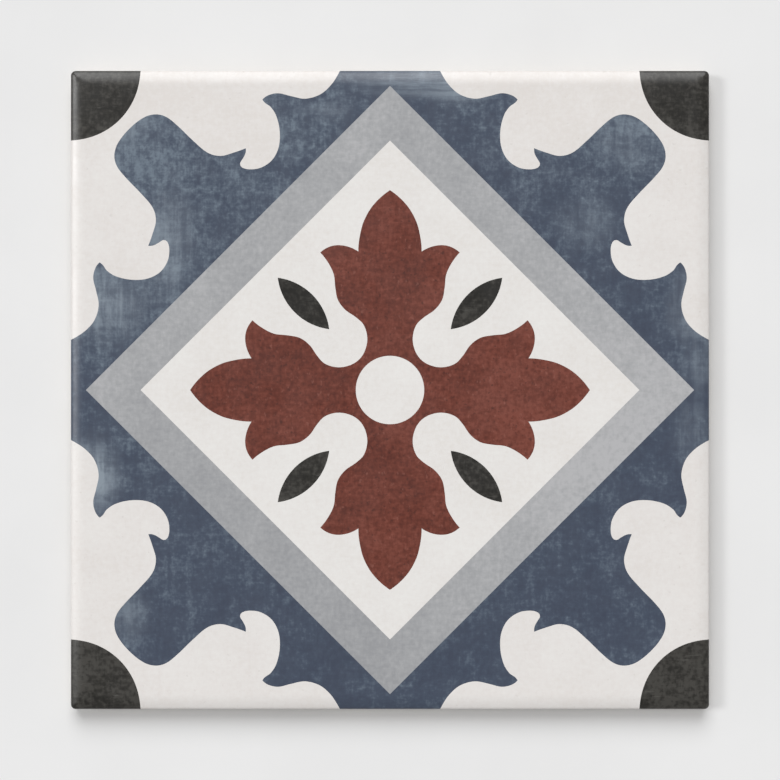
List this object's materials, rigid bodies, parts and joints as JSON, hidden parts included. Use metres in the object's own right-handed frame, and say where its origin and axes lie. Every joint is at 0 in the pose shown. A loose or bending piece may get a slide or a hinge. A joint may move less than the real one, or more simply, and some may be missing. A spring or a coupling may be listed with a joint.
{
  "type": "cement-look floor tile",
  "caption": "Square pressed porcelain floor tile with a printed cement-look diamond and fleuron ornament, a softly pillowed border and a waffle-relief back for bedding in adhesive.",
  "frame": {"origin": "centre of the tile's back, on the plane of its ribs", "axes": "+Z out of the printed face; +X and +Y square to the joint sides"},
  "size_m": [0.2, 0.2, 0.008],
  "materials": {
    "glazed_porcelain": "satin-matt glaze over a pale pressed body, printed in navy, grey, oxide red and charcoal on off-white; the back is bare fired body"
  },
  "bodies": {
    "root": {"tile": "glazed_porcelain"}
  },
  "joints": []
}
